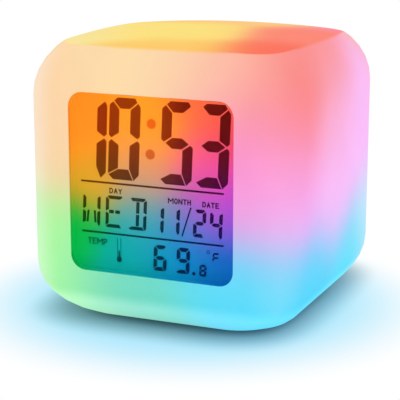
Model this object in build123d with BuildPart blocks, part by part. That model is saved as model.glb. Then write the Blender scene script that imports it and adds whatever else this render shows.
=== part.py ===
"""Cube night-light alarm clock, in millimetres.

The clock stands on z = 0, its display faces -Y, and the cover with the buttons and the battery door
faces +Y. The origin is under the middle of the cube.
"""
from build123d import *
import math
import os

os.makedirs("parts", exist_ok=True)

# Cube
cube_width = 79.0
cube_depth = 79.0
cube_height = 79.0
wall = 2.2
corner_radius = 12.8
base_round = 16.0
crown_round = 19.0
crown_drop = 16.2  # from the top's middle down to where the walls begin to lean in
crown_turn = 62.0  # degrees of the crown's round that the domed top is cut from
dome_radius = 380.0
crease_softness = 0.8
base_steps = 8  # flat bands that draw the outside's lower round
crown_steps = 6
hollow_base_steps = 5
hollow_crown_steps = 4
hollow_corner_steps = 4  # flats that draw each corner of the hollow
few_sides = 8  # small round things out of sight are drawn with few faces
overrun = 1.0  # how far a cut reaches past the face that it opens

# Window and lens
window_width_share = 0.6025  # of the cube's width
window_height_share = 0.619  # of the cube's height
window_corner = 4.2
window_rise = 1.4  # window's middle above the cube's middle
lens_fit = 0.1
lens_recess = 0.3
flange_margin = 2.0
flange_thickness = 1.2
flange_fit = 0.2

# Display stack behind the lens
display_gap = 0.2
polariser_thickness = 0.2
polariser_inset = 0.3
glass_thickness = 1.1
glass_margin = 0.8  # glass beyond the window on each side
contact_ledge = 2.6  # front glass below the rear glass
sheet_thickness = 1.0

# Frame that holds the display
pocket_fit = 0.15
frame_wall = 1.8
frame_lip = 1.2
frame_corner = 2.0
frame_room = 0.3
ear_reach = 3.1
ear_radius = 2.7
ear_thickness = 1.6
ear_spacing = 34.0

# Ribbon from the display to the board
ribbon_width = 26.0
ribbon_thickness = 0.25
ribbon_bend = 2.6
ribbon_drop = 4.4  # from the glass down to the run along the floor
ribbon_bond = 2.2
ribbon_board_bond = 4.0
ribbon_room = 0.6

# Rear cover and its socket in the cube
cover_width = 62.0
cover_height = 60.0
cover_corner = 6.0
cover_thickness = 2.0
cover_rise = 0.5  # cover's middle above the cube's middle
cover_recess = 1.7
cover_bevel = 0.3
cover_fit = 0.2
socket_wall = 1.8
ledge_width = 2.0
ledge_thickness = 2.0
cover_screw_inset = 4.0
boss_radius = 2.6
boss_length = 8.8

# Battery cells and their bay
cell_count = 3
cell_diameter = 10.5
cell_length = 44.5
cell_gap = 0.3
cell_nub_diameter = 3.8
cell_nub_length = 0.9
cell_room = 0.25
contact_thickness = 0.4
contact_size = 9.0
spring_length = 5.2
bay_wall = 2.2
bay_floor = 1.4
bay_corner = 2.0
bay_rise = 6.9  # bay's underside above the cover's lower edge
cell_rib_width = 1.0
cell_rib_height = 2.4

# Contact springs
spring_wire = 0.7
spring_base_radius = 3.4
spring_tip_radius = 2.4
spring_turns = 2
spring_turn_steps = 4  # pieces of each turn, every one drawn as two arcs
spring_clearance = 0.05
spring_sides = 4
spring_gap_points = 40  # points to a turn for the printed gap between turns

# Battery door
door_thickness = 1.6
door_rest = 1.0
door_gap = 0.25
door_corner = 1.6
hook_spacing = 28.0
hook_width = 6.0
hook_leg = 1.0
hook_drop = 1.2
hook_foot = 0.9
hook_gap = 0.3
hook_room = 0.4
tongue_width = 10.0
tongue_length = 7.0
tongue_slit = 0.8
nib_width = 9.0
nib_height = 1.2
nib_thickness = 1.0
notch_room = 0.3
notch_height = 2.4
grip_rib_count = 3
grip_rib_pitch = 1.4
grip_rib_width = 0.5
grip_rib_height = 0.25

# Buttons with the small switches under them
button_names = ("mode", "set", "up", "down", "snooze")
button_pitch = 9.2
button_drop = 6.4  # button row below the cover's upper edge
button_diameter = 6.4
button_proud = 1.7
button_edge = 0.6
button_fit = 0.2
button_play = 0.3
button_flange_size = 8.0
button_flange_thickness = 1.2
button_stem_size = 3.0
tact_size = 6.0
tact_height = 3.4
tact_well = 2.4
plunger_diameter = 3.2
plunger_proud = 0.8
plunger_depth = 1.6
plunger_fit = 0.15

# Light switch
switch_row_rise = 3.0  # row of light switch and vents above the bay
switch_offset = 14.5
switch_travel = 2.0
switch_body_length = 8.6
switch_body_width = 3.6
switch_body_height = 3.4
switch_well = 2.4
lever_length = 1.8
lever_width = 1.4
lever_height = 3.8
lever_depth = 2.2
lever_fit = 0.1
thumb_length = 3.2
thumb_width = 2.4
thumb_proud = 0.9
thumb_edge = 0.3
knob_fit = 0.2
knob_play = 0.3
knob_plate_length = 9.6
knob_plate_width = 4.0
knob_plate_thickness = 1.0
knob_stem_length = 4.0
knob_stem_width = 3.2
knob_overlap = 2.0  # how far the knob's stem reaches over the lever
knob_end_gap = 0.2

# Vents for the sound and the thermometer
vent_count = 4
vent_pitch = 2.6
vent_width = 1.2
vent_height = 5.0

# Circuit board
board_height = 55.2
board_thickness = 1.6
board_gap = 0.4
board_corner_cut = 7.0
post_radius = 2.2
board_edge_margin = 2.5  # from the upper posts' middles to the board's sides
lower_post_spread = 32.0
lower_post_rise = 4.4  # lower posts above the cover's lower edge
led_size = 5.0
led_height = 1.6
led_dish_diameter = 4.0
led_dish_depth = 0.4
led_spread_across = 40.0
led_spread_up = 34.0
led_screw_gap = 1.1
chip_diameter = 9.0
chip_height = 1.6
chip_drop = 9.0
crystal_diameter = 2.0
crystal_length = 6.0
crystal_offset = 11.0
crystal_clearance = 0.05
buzzer_diameter = 12.0
buzzer_height = 7.5
buzzer_port_diameter = 2.0
buzzer_port_depth = 2.0
buzzer_rise = 9.0
sensor_bead_radius = 1.2
sensor_height = 8.0
sensor_lead_width = 0.5
sensor_bead_length = 2.4
sensor_lead_spacing = 1.3

# Screws
cover_screw_head_radius = 2.2
cover_screw_head_height = 1.1
cover_screw_radius = 1.1
cover_screw_length = 7.5
screw_head_room = 0.2
screw_hole_room = 0.2
screw_pilot_fit = 0.05
screw_pilot_spare = 0.8
cross_length = 2.6
cross_width = 0.6
cross_depth = 0.6
small_screw_head_radius = 1.9
small_screw_head_height = 1.2
small_screw_radius = 0.8
small_screw_length = 5.0

# Depths through the clock, from the window at the front to the cover at the rear
front_y = -cube_depth / 2
rear_y = cube_depth / 2
inner_front_y = front_y + wall
lens_back_y = inner_front_y + flange_thickness
front_polariser_y = lens_back_y + display_gap + polariser_thickness
front_glass_y = front_polariser_y + glass_thickness
rear_glass_y = front_glass_y + glass_thickness
rear_polariser_y = rear_glass_y + polariser_thickness
sheet_y = rear_polariser_y + sheet_thickness
frame_back_y = sheet_y + frame_lip
ear_front_y = frame_back_y - ear_thickness
cover_outer_y = rear_y - cover_recess
cover_inner_y = cover_outer_y - cover_thickness
ledge_front_y = cover_inner_y - ledge_thickness
door_inner_y = cover_outer_y - door_thickness
cell_y = door_inner_y - cell_room - cell_diameter / 2
bay_floor_y = cell_y - cell_diameter / 2 - cell_room
bay_front_y = bay_floor_y - bay_floor
board_rear_y = bay_front_y - board_gap
board_front_y = board_rear_y - board_thickness


sideways = (90, 0, 0)  # turns the dome's sphere so that its poles are not on the top


def four_corners(spread_across, spread_up, middle):
    """Four places about a middle height, as (x, z)."""
    return [(i * spread_across / 2, middle + k * spread_up / 2) for i in (-1, 1) for k in (-1, 1)]


# Heights and sizes that follow from the values above
middle_z = cube_height / 2
window_width = cube_width * window_width_share
window_height = cube_height * window_height_share
window_z = middle_z + window_rise
glass_width = window_width + 2 * glass_margin
glass_height = window_height + 2 * glass_margin
front_glass_height = glass_height + contact_ledge
front_glass_z = window_z - contact_ledge / 2
front_glass_low = front_glass_z - front_glass_height / 2
frame_width = glass_width + 2 * (pocket_fit + frame_wall)
frame_height = front_glass_height + 2 * (pocket_fit + frame_wall)
frame_low = front_glass_z - frame_height / 2
ear_places = four_corners(frame_width + 2 * ear_reach, ear_spacing, window_z)

cover_z = middle_z + cover_rise
cover_low = cover_z - cover_height / 2
cover_high = cover_z + cover_height / 2
cover_screw_places = four_corners(
    cover_width - 2 * cover_screw_inset, cover_height - 2 * cover_screw_inset, cover_z
)
cover_screw_seat_y = cover_outer_y - cover_screw_head_height
cover_screw_end_y = cover_screw_seat_y - cover_screw_length
pilot_radius = cover_screw_radius + screw_pilot_fit
small_pilot_radius = small_screw_radius + screw_pilot_fit

cell_pitch = cell_diameter + cell_gap
bay_length = cell_length + spring_length + 2 * contact_thickness
bay_height = cell_count * cell_pitch
bay_low = cover_low + bay_rise
bay_z = bay_low + bay_wall + bay_height / 2
bay_high = bay_z + bay_height / 2 + bay_wall
bay_end_x = bay_length / 2
cell_heights = [bay_z + cell_pitch * (row - (cell_count - 1) / 2) for row in range(cell_count)]

door_width = bay_length + 2 * door_rest
door_height = bay_height + 2 * door_rest
door_low = bay_z - door_height / 2
door_high = bay_z + door_height / 2
hinge_radius = door_thickness / 2
hinge_y = cover_outer_y - hinge_radius
hinge_z = door_low + hinge_radius
hook_rear_y = cover_inner_y - hook_gap
hook_front_y = hook_rear_y - hook_foot

button_z = cover_high - button_drop
button_places = [button_pitch * (place - (len(button_names) - 1) / 2) for place in range(len(button_names))]
button_outer_y = cover_outer_y + button_proud
button_flange_y = cover_inner_y - button_play
button_stem_y = button_flange_y - button_flange_thickness
tact_rear_y = board_rear_y + tact_height
plunger_rear_y = tact_rear_y + plunger_proud

switch_z = bay_high + switch_row_rise
switch_x = -switch_offset
knob_x = switch_x - switch_travel / 2
vent_x = switch_offset
switch_rear_y = board_rear_y + switch_body_height
lever_rear_y = switch_rear_y + lever_height
knob_plate_y = cover_inner_y - knob_play
knob_stem_y = knob_plate_y - knob_plate_thickness
knob_end_y = lever_rear_y - knob_overlap

upper_post_spread = led_spread_across + led_size + 2 * (led_screw_gap + small_screw_head_radius)
board_width = upper_post_spread + 2 * board_edge_margin
board_z = cover_z
upper_post_z = switch_z
lower_post_z = cover_low + lower_post_rise
post_places = [
    (side * spread / 2, height)
    for spread, height in ((upper_post_spread, upper_post_z), (lower_post_spread, lower_post_z))
    for side in (-1, 1)
]


def across(y):
    """Plane square to the clock's depth, X to the right and Z up; what it extrudes grows to the front."""
    return Plane.XZ.offset(-y)


def keep(piece, name):
    """Label a finished piece and write it under its name."""
    piece.part.label = name
    export_step(piece.part, f"parts/{name}.step")


def plan_outline(lean, radius, flats):
    """Level section of the cube, drawn in by the lean, with corners that are arcs or rows of flats."""
    middle_x = cube_width / 2 - lean - radius
    middle_y = cube_depth / 2 - lean - radius
    if flats:
        points = []
        for quarter, (side_x, side_y) in enumerate(((1, 1), (-1, 1), (-1, -1), (1, -1))):
            for flat in range(flats + 1):
                angle = math.pi / 2 * (quarter + flat / flats)
                x = side_x * middle_x + radius * math.cos(angle)
                y = side_y * middle_y + radius * math.sin(angle)
                points.append((x, y))
        Polygon(*points, align=None)
    else:
        RectangleRounded(2 * (middle_x + radius), 2 * (middle_y + radius), radius)


def cube_form(inset, base_bands, crown_bands, flats):
    """The cube drawn in evenly on all sides: no inset gives its outside, the wall gives its hollow."""
    corner = corner_radius - inset
    base_arc = base_round - inset
    crown_arc = crown_round - inset
    crown_start = cube_height - crown_drop
    with BuildPart() as form:
        # Base, rounded from the floor up to the walls
        for step in range(base_bands + 1):
            turn = math.pi / 2 * step / base_bands
            lean = inset + base_arc * (1 - math.sin(turn))
            with BuildSketch(Plane.XY.offset(base_round - base_arc * math.cos(turn))):
                plan_outline(lean, corner, flats)
        loft(ruled=True)
        # Upright walls
        with BuildSketch(Plane.XY.offset(base_round)):
            plan_outline(inset, corner, flats)
        extrude(amount=crown_start - base_round)
        # Crown, rounded inwards until the domed top cuts it
        for step in range(crown_bands + 1):
            turn = math.radians(crown_turn) * step / crown_bands
            lean = inset + crown_arc * (1 - math.cos(turn))
            with BuildSketch(Plane.XY.offset(crown_start + crown_arc * math.sin(turn))):
                plan_outline(lean, corner, flats)
        loft(ruled=True)
        with Locations((0, 0, cube_height - dome_radius)):
            Sphere(dome_radius - inset, rotation=sideways, mode=Mode.INTERSECT)
    return form.part


def flat_sheet(name, rear, thickness, width, height, middle):
    """A flat rectangular sheet of the display, given by its rear face."""
    with BuildPart() as sheet:
        with BuildSketch(across(rear)):
            with Locations((0, middle)):
                Rectangle(width, height)
        extrude(amount=thickness)
    keep(sheet, name)


def screw_set(name, places, seat, head_side, head_radius, head_height, radius, length, cross=0):
    """Like screws seated at one depth; head_side is 1 for heads on the rear of the seat, -1 for its front."""
    head_y = seat + head_height if head_side > 0 else seat
    shank_y = seat if head_side > 0 else seat + length
    with BuildPart() as screws:
        with BuildSketch(across(head_y)):
            with Locations(*places):
                RegularPolygon(head_radius, few_sides)
        extrude(amount=head_height)
        with BuildSketch(across(shank_y)):
            with Locations(*places):
                RegularPolygon(radius, few_sides)
        extrude(amount=length)
        if cross:
            with BuildSketch(across(head_y)):
                with Locations(*places):
                    Rectangle(cross_length, cross_width)
                    Rectangle(cross_width, cross_length)
            extrude(amount=cross, mode=Mode.SUBTRACT)
    keep(screws, name)


def biarc(start, start_way, end, end_way):
    """Two arcs that leave the start and reach the end in the given directions and meet smoothly."""
    span = end - start
    both = start_way + end_way
    bend = 2 * (1 - start_way.dot(end_way))
    along = span.dot(both)
    reach = (math.sqrt(along * along + bend * span.dot(span)) - along) / bend
    joint = (start + end + (start_way - end_way) * reach) / 2
    first = TangentArc(start, joint, tangent=start_way)
    TangentArc(joint, end, tangent=first % 1)


# Hollow of the cube, which leaves the cover's socket and the screw bosses standing
socket_width = cover_width + 2 * cover_fit
socket_height = cover_height + 2 * cover_fit
socket_corner = cover_corner + cover_fit
with BuildPart() as hollow:
    add(cube_form(wall, hollow_base_steps, hollow_crown_steps, hollow_corner_steps))
    with BuildSketch(across(rear_y)):
        with Locations((0, cover_z)):
            RectangleRounded(
                socket_width + 2 * socket_wall, socket_height + 2 * socket_wall, socket_corner + socket_wall
            )
    extrude(amount=rear_y - ledge_front_y, mode=Mode.SUBTRACT)
    with BuildSketch(across(cover_inner_y)):
        with Locations(*cover_screw_places):
            RegularPolygon(boss_radius, few_sides)
    extrude(amount=boss_length, mode=Mode.SUBTRACT)
    with BuildSketch(across(ear_front_y)):
        with Locations(*ear_places):
            RegularPolygon(ear_radius, few_sides)
    extrude(amount=ear_front_y - front_y, mode=Mode.SUBTRACT)

# Diffuser shell: the milky cube
with BuildPart() as diffuser_shell:
    add(cube_form(0, base_steps, crown_steps, 0))
    fillet(diffuser_shell.faces().sort_by(Axis.Z)[-1].edges(), crease_softness)
    add(hollow.part, mode=Mode.SUBTRACT)
    # Window, and behind it flat seats for the lens and for the display's frame
    with BuildSketch(across(lens_back_y)):
        with Locations((0, window_z)):
            RectangleRounded(window_width, window_height, window_corner)
    extrude(amount=lens_back_y - front_y + overrun, mode=Mode.SUBTRACT)
    with BuildSketch(across(lens_back_y)):
        with Locations((0, window_z)):
            RectangleRounded(
                window_width + 2 * (flange_margin + flange_fit),
                window_height + 2 * (flange_margin + flange_fit),
                window_corner + flange_margin + flange_fit,
            )
    extrude(amount=flange_thickness, mode=Mode.SUBTRACT)
    with BuildSketch(across(frame_back_y)):
        with Locations((0, front_glass_z)):
            RectangleRounded(
                frame_width + 2 * frame_room, frame_height + 2 * frame_room, frame_corner + frame_room
            )
    extrude(amount=frame_back_y - lens_back_y + frame_room, mode=Mode.SUBTRACT)
    # Socket for the rear cover, open inside its ledge
    with BuildSketch(across(rear_y + overrun)):
        with Locations((0, cover_z)):
            RectangleRounded(socket_width, socket_height, socket_corner)
    extrude(amount=rear_y + overrun - cover_inner_y, mode=Mode.SUBTRACT)
    with BuildSketch(across(cover_inner_y)):
        with Locations((0, cover_z)):
            RectangleRounded(
                socket_width - 2 * ledge_width, socket_height - 2 * ledge_width, socket_corner - ledge_width
            )
        with Locations(*cover_screw_places):
            RegularPolygon(boss_radius, few_sides, mode=Mode.SUBTRACT)
    extrude(amount=ledge_thickness + overrun, mode=Mode.SUBTRACT)
    # Pilot holes in the bosses
    with BuildSketch(across(cover_inner_y)):
        with Locations(*cover_screw_places):
            RegularPolygon(pilot_radius, few_sides)
    extrude(amount=cover_inner_y - cover_screw_end_y + screw_pilot_spare, mode=Mode.SUBTRACT)
    with BuildSketch(across(ear_front_y)):
        with Locations(*ear_places):
            RegularPolygon(small_pilot_radius, few_sides)
    extrude(amount=small_screw_length - ear_thickness + screw_pilot_spare, mode=Mode.SUBTRACT)
keep(diffuser_shell, "diffuser_shell")

# Lens: a clear plug in the window on a wider flange behind the wall
with BuildPart() as display_lens:
    with BuildSketch(across(inner_front_y)):
        with Locations((0, window_z)):
            RectangleRounded(
                window_width - 2 * lens_fit, window_height - 2 * lens_fit, window_corner - lens_fit
            )
    extrude(amount=wall - lens_recess)
    with BuildSketch(across(lens_back_y)):
        with Locations((0, window_z)):
            RectangleRounded(
                window_width + 2 * flange_margin,
                window_height + 2 * flange_margin,
                window_corner + flange_margin,
            )
    extrude(amount=flange_thickness)
keep(display_lens, "display_lens")

# Display stack, from the front to the rear
film_width = glass_width - 2 * polariser_inset
film_height = glass_height - 2 * polariser_inset
flat_sheet("front_polariser", front_polariser_y, polariser_thickness, film_width, film_height, window_z)
flat_sheet("lcd_front_glass", front_glass_y, glass_thickness, glass_width, front_glass_height, front_glass_z)
flat_sheet("lcd_rear_glass", rear_glass_y, glass_thickness, glass_width, glass_height, window_z)
flat_sheet("rear_polariser", rear_polariser_y, polariser_thickness, film_width, film_height, window_z)
flat_sheet("backlight_diffuser", sheet_y, sheet_thickness, glass_width, glass_height, window_z)

# Frame that presses the display to the lens, with four screw ears
with BuildPart() as lcd_frame:
    with BuildSketch(across(frame_back_y)):
        with Locations((0, front_glass_z)):
            RectangleRounded(frame_width, frame_height, frame_corner)
    extrude(amount=frame_back_y - lens_back_y)
    with BuildSketch(across(frame_back_y)):
        with Locations((0, window_z)):
            with GridLocations(0, ear_spacing, 1, 2):
                Rectangle(frame_width + 2 * (ear_reach + ear_radius), 2 * ear_radius)
    extrude(amount=ear_thickness)
    with BuildSketch(across(sheet_y)):
        with Locations((0, front_glass_z)):
            Rectangle(glass_width + 2 * pocket_fit, front_glass_height + 2 * pocket_fit)
    extrude(amount=sheet_y - lens_back_y + overrun, mode=Mode.SUBTRACT)
    with BuildSketch(across(frame_back_y + overrun)):
        with Locations((0, window_z)):
            Rectangle(window_width, window_height)
    extrude(amount=frame_lip + 2 * overrun, mode=Mode.SUBTRACT)
    # Way out for the ribbon at the foot of the frame
    with BuildSketch(across(sheet_y)):
        with Locations((0, frame_low)):
            Rectangle(ribbon_width + 2 * ribbon_room, 2 * (frame_wall + pocket_fit))
    extrude(amount=sheet_y - front_glass_y + ribbon_room, mode=Mode.SUBTRACT)
    with BuildSketch(across(frame_back_y + overrun)):
        with Locations(*ear_places):
            RegularPolygon(small_screw_radius + screw_hole_room, few_sides)
    extrude(amount=ear_thickness + 2 * overrun, mode=Mode.SUBTRACT)
keep(lcd_frame, "lcd_frame")

screw_set(
    "lcd_frame_screws", ear_places, frame_back_y, 1,
    small_screw_head_radius, small_screw_head_height, small_screw_radius, small_screw_length,
)

# Ribbon: down from the glass, back along the floor of the cube and up onto the board
ribbon_front_y = front_glass_y + ribbon_thickness / 2
ribbon_rear_y = board_front_y - ribbon_thickness / 2
ribbon_run_z = front_glass_low - ribbon_drop
board_low = board_z - board_height / 2
with BuildPart() as lcd_ribbon:
    with BuildSketch(Plane.YZ.offset(-ribbon_width / 2)):
        with BuildLine():
            FilletPolyline(
                (ribbon_front_y, front_glass_low + ribbon_bond),
                (ribbon_front_y, ribbon_run_z),
                (ribbon_rear_y, ribbon_run_z),
                (ribbon_rear_y, board_low + ribbon_board_bond),
                radius=ribbon_bend,
            )
        trace(line_width=ribbon_thickness)
    extrude(amount=ribbon_width)
keep(lcd_ribbon, "lcd_ribbon")

# Rear cover with the battery bay moulded on its inner side
with BuildPart() as rear_cover:
    with BuildSketch(across(cover_outer_y)):
        with Locations((0, cover_z)):
            RectangleRounded(cover_width, cover_height, cover_corner)
    extrude(amount=cover_thickness)
    chamfer(rear_cover.faces().sort_by(Axis.Y)[-1].edges(), cover_bevel)
    with BuildSketch(across(cover_inner_y)):
        with Locations((0, bay_z)):
            RectangleRounded(bay_length + 2 * bay_wall, bay_height + 2 * bay_wall, bay_corner)
    extrude(amount=cover_inner_y - bay_front_y)
    with BuildSketch(across(cover_inner_y)):
        with Locations(*post_places):
            RegularPolygon(post_radius, few_sides)
    extrude(amount=cover_inner_y - board_rear_y)
    # Door opening down to the rim that the door rests on, and the bay inside it
    with BuildSketch(across(cover_outer_y + overrun)) as door_opening:
        with Locations((0, bay_z)):
            Rectangle(door_width + 2 * door_gap, door_height + 2 * door_gap)
        fillet(door_opening.vertices().group_by(Axis.Y)[-1], door_corner + door_gap)
    extrude(amount=overrun + door_thickness, mode=Mode.SUBTRACT)
    with BuildSketch(across(door_inner_y)):
        with Locations((0, bay_z)):
            Rectangle(bay_length, bay_height)
    extrude(amount=door_inner_y - bay_floor_y, mode=Mode.SUBTRACT)
    # Low ribs that keep the cells apart
    with BuildSketch(across(bay_floor_y + cell_rib_height)):
        for row in range(cell_count - 1):
            with Locations((0, (cell_heights[row] + cell_heights[row + 1]) / 2)):
                Rectangle(cell_length, cell_rib_width)
    extrude(amount=cell_rib_height)
    # Slots for the door's hooks, under the plate and through the rim
    slot_front_y = hook_front_y - 2 * hook_room - hook_leg
    slot_width = hook_width + 2 * hook_room
    slot_low = door_low - hook_drop - hook_room
    slot_high = door_low + door_rest + overrun
    rim_low = door_low - door_gap
    with BuildSketch(across(cover_inner_y)):
        with Locations((0, (slot_low + slot_high) / 2)):
            with GridLocations(hook_spacing, 0, 2, 1):
                Rectangle(slot_width, slot_high - slot_low)
    extrude(amount=cover_inner_y - slot_front_y, mode=Mode.SUBTRACT)
    with BuildSketch(across(door_inner_y)):
        with Locations((0, (rim_low + slot_high) / 2)):
            with GridLocations(hook_spacing, 0, 2, 1):
                Rectangle(slot_width, slot_high - rim_low)
    extrude(amount=door_inner_y - cover_inner_y, mode=Mode.SUBTRACT)
    # Finger notch over the door's tongue
    with BuildSketch(across(cover_outer_y + overrun)):
        with Locations((0, door_high)):
            Rectangle(tongue_width, 2 * notch_height)
    extrude(amount=overrun + nib_thickness + notch_room, mode=Mode.SUBTRACT)
    # Button holes, knob slot and vents
    with BuildSketch(across(cover_outer_y + overrun)):
        with Locations(*[(x, button_z) for x in button_places]):
            Circle(button_diameter / 2 + button_fit)
        with Locations((switch_x, switch_z)):
            Rectangle(thumb_length + switch_travel + 2 * knob_fit, thumb_width + 2 * knob_fit)
        with Locations((vent_x, switch_z)):
            with GridLocations(vent_pitch, 0, vent_count, 1):
                Rectangle(vent_width, vent_height)
    extrude(amount=cover_thickness + 2 * overrun, mode=Mode.SUBTRACT)
    # Screw holes with room for the heads, and pilot holes in the posts
    with BuildSketch(across(cover_outer_y + overrun)):
        with Locations(*cover_screw_places):
            Circle(cover_screw_head_radius + screw_head_room)
    extrude(amount=overrun + cover_screw_head_height, mode=Mode.SUBTRACT)
    with BuildSketch(across(cover_outer_y)):
        with Locations(*cover_screw_places):
            RegularPolygon(cover_screw_radius + screw_hole_room, few_sides)
    extrude(amount=cover_thickness + overrun, mode=Mode.SUBTRACT)
    with BuildSketch(across(board_rear_y + small_screw_length - board_thickness + screw_pilot_spare)):
        with Locations(*post_places):
            RegularPolygon(small_pilot_radius, few_sides)
    extrude(amount=small_screw_length - board_thickness + screw_pilot_spare, mode=Mode.SUBTRACT)
keep(rear_cover, "rear_cover")

screw_set(
    "cover_screws", cover_screw_places, cover_screw_seat_y, 1,
    cover_screw_head_radius, cover_screw_head_height, cover_screw_radius, cover_screw_length, cross_depth,
)

# Battery door: turns on its rounded lower edge, hooks behind the cover and closes with a tongue
with BuildPart() as battery_door:
    with BuildSketch(Plane.YZ.offset(-door_width / 2)):
        with Locations((hinge_y, (hinge_z + door_high) / 2)):
            Rectangle(door_thickness, door_high - hinge_z)
        with Locations((hinge_y, hinge_z)):
            Circle(hinge_radius)
    extrude(amount=door_width)
    upper_corners = battery_door.edges().filter_by(Axis.Y).group_by(Axis.Z)[-1]
    fillet(upper_corners, door_corner)
    # Tongue, freed by two slits, with a nib and grip ribs
    with BuildSketch(across(cover_outer_y)):
        with Locations((0, door_high)):
            with GridLocations(tongue_width + tongue_slit, 0, 2, 1):
                Rectangle(tongue_slit, 2 * tongue_length)
    extrude(amount=door_thickness, mode=Mode.SUBTRACT)
    with BuildSketch(across(cover_outer_y)):
        with Locations((0, door_high)):
            Rectangle(nib_width, 2 * nib_height)
    extrude(amount=nib_thickness)
    with BuildSketch(across(cover_outer_y + grip_rib_height)):
        with Locations((0, door_high - tongue_length / 2)):
            with GridLocations(0, grip_rib_pitch, 1, grip_rib_count):
                Rectangle(nib_width, grip_rib_width)
    extrude(amount=grip_rib_height)
    # Hooks behind the lower edge
    for side in (-1, 1):
        with BuildSketch(Plane.YZ.offset((side * hook_spacing - hook_width) / 2)):
            with Locations(((hook_front_y + hinge_y) / 2, door_low + hook_leg / 2)):
                Rectangle(hinge_y - hook_front_y, hook_leg)
            with Locations(((hook_front_y + hook_rear_y) / 2, door_low + (hook_leg - hook_drop) / 2)):
                Rectangle(hook_foot, hook_leg + hook_drop)
        extrude(amount=hook_width)
keep(battery_door, "battery_door")

# Battery cells, laid in turn to the right and to the left
cell_ways = [1 if row % 2 == 0 else -1 for row in range(cell_count)]
for row in range(cell_count):
    nub_end_x = cell_ways[row] * (bay_end_x - contact_thickness)
    with BuildPart() as battery_cell:
        with BuildSketch(Plane(origin=(nub_end_x, cell_y, cell_heights[row]), z_dir=(-cell_ways[row], 0, 0))):
            Circle(cell_nub_diameter / 2)
        extrude(amount=cell_nub_length)
        body_x = nub_end_x - cell_ways[row] * cell_nub_length
        with BuildSketch(Plane(origin=(body_x, cell_y, cell_heights[row]), z_dir=(-cell_ways[row], 0, 0))):
            Circle(cell_diameter / 2)
        extrude(amount=cell_length - cell_nub_length)
    keep(battery_cell, f"battery_cell_{row + 1}")


def contact_plate(name, side, first_row, last_row):
    """A flat contact on one end wall of the bay that spans the given rows of cells."""
    height = contact_size + cell_heights[last_row] - cell_heights[first_row]
    with BuildPart() as plate:
        with BuildSketch(Plane.YZ.offset(side * bay_end_x)):
            with Locations((cell_y, (cell_heights[first_row] + cell_heights[last_row]) / 2)):
                Rectangle(contact_size, height)
        extrude(amount=-side * contact_thickness)
    keep(plate, name)


contact_plate("positive_contact", 1, 0, 0)
contact_plate("left_link_contact", -1, 0, 1)
contact_plate("right_link_contact", 1, 1, 2)
contact_plate("negative_contact", -1, 2, 2)


def spring_point(turns, way, height):
    """Point on the middle of a spring's wire, a number of turns from its base on the contact."""
    share = turns / spring_turns
    radius = spring_base_radius + (spring_tip_radius - spring_base_radius) * share
    foot = spring_wire / 2 + spring_clearance
    rise = foot + (spring_length - 2 * foot) * share
    angle = 2 * math.pi * turns
    base_x = way * (contact_thickness - bay_end_x)
    return Vector(
        base_x + way * rise, cell_y + radius * math.cos(angle), height + radius * math.sin(angle)
    )


def spring_way(turns, way, height):
    """Direction of a spring's wire, from two points close by."""
    step = 1 / spring_gap_points / spring_gap_points
    return (spring_point(turns + step, way, height) - spring_point(turns - step, way, height)).normalized()


# Contact springs: a cone of wire on each negative contact
with BuildPart() as battery_springs:
    for row in range(cell_count):
        way = cell_ways[row]
        height = cell_heights[row]
        stops = [stop / spring_turn_steps for stop in range(spring_turn_steps * spring_turns + 1)]
        with BuildLine() as wire_path:
            for start, end in zip(stops, stops[1:]):
                biarc(
                    spring_point(start, way, height), spring_way(start, way, height),
                    spring_point(end, way, height), spring_way(end, way, height),
                )
        wire = wire_path.wires()[0]
        with BuildSketch(Plane(origin=wire @ 0, z_dir=wire % 0)):
            RegularPolygon(spring_wire / 2, spring_sides)
        sweep(path=wire)
keep(battery_springs, "battery_springs")

spring_dot_count = spring_turns * spring_gap_points + 1
spring_dots = [spring_point(dot / spring_gap_points, 1, 0) for dot in range(spring_dot_count)]
spring_gap = min(
    (near - far).length - spring_wire
    for first, near in enumerate(spring_dots)
    for far in spring_dots[first + spring_gap_points // 2:]
)
print(f"least gap between the turns of a spring: {spring_gap:.2f} mm")

# Circuit board with its corners cut off, so that it passes the cube's bosses
with BuildPart() as main_board:
    with BuildSketch(across(board_rear_y)) as board_outline:
        with Locations((0, board_z)):
            Rectangle(board_width, board_height)
        chamfer(board_outline.vertices(), board_corner_cut)
        with Locations(*post_places):
            RegularPolygon(small_screw_radius + screw_hole_room, few_sides, mode=Mode.SUBTRACT)
    extrude(amount=board_thickness)
keep(main_board, "main_board")

screw_set(
    "board_screws", post_places, board_front_y, -1,
    small_screw_head_radius, small_screw_head_height, small_screw_radius, small_screw_length,
)

# Coloured lamps towards the corners of the board's front
with BuildPart() as rgb_leds:
    with BuildSketch(across(board_front_y)):
        with Locations((0, board_z)):
            with GridLocations(led_spread_across, led_spread_up, 2, 2):
                Rectangle(led_size, led_size)
    extrude(amount=led_height)
    with BuildSketch(across(board_front_y - led_height + led_dish_depth)):
        with Locations((0, board_z)):
            with GridLocations(led_spread_across, led_spread_up, 2, 2):
                RegularPolygon(led_dish_diameter / 2, few_sides)
    extrude(amount=led_dish_depth, mode=Mode.SUBTRACT)
keep(rgb_leds, "rgb_leds")

# Chip under its round drop of resin
chip_z = board_z - chip_drop
with BuildPart() as clock_chip:
    with BuildSketch(across(board_front_y)):
        with Locations((0, chip_z)):
            Circle(chip_diameter / 2)
    extrude(amount=chip_height)
keep(clock_chip, "clock_chip")

# Quartz crystal lying on the board
crystal_y = board_front_y - crystal_diameter / 2 - crystal_clearance
with BuildPart() as quartz_crystal:
    with BuildSketch(Plane.YZ.offset(crystal_offset - crystal_length / 2)):
        with Locations((crystal_y, chip_z)):
            Circle(crystal_diameter / 2)
    extrude(amount=crystal_length)
keep(quartz_crystal, "quartz_crystal")

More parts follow.
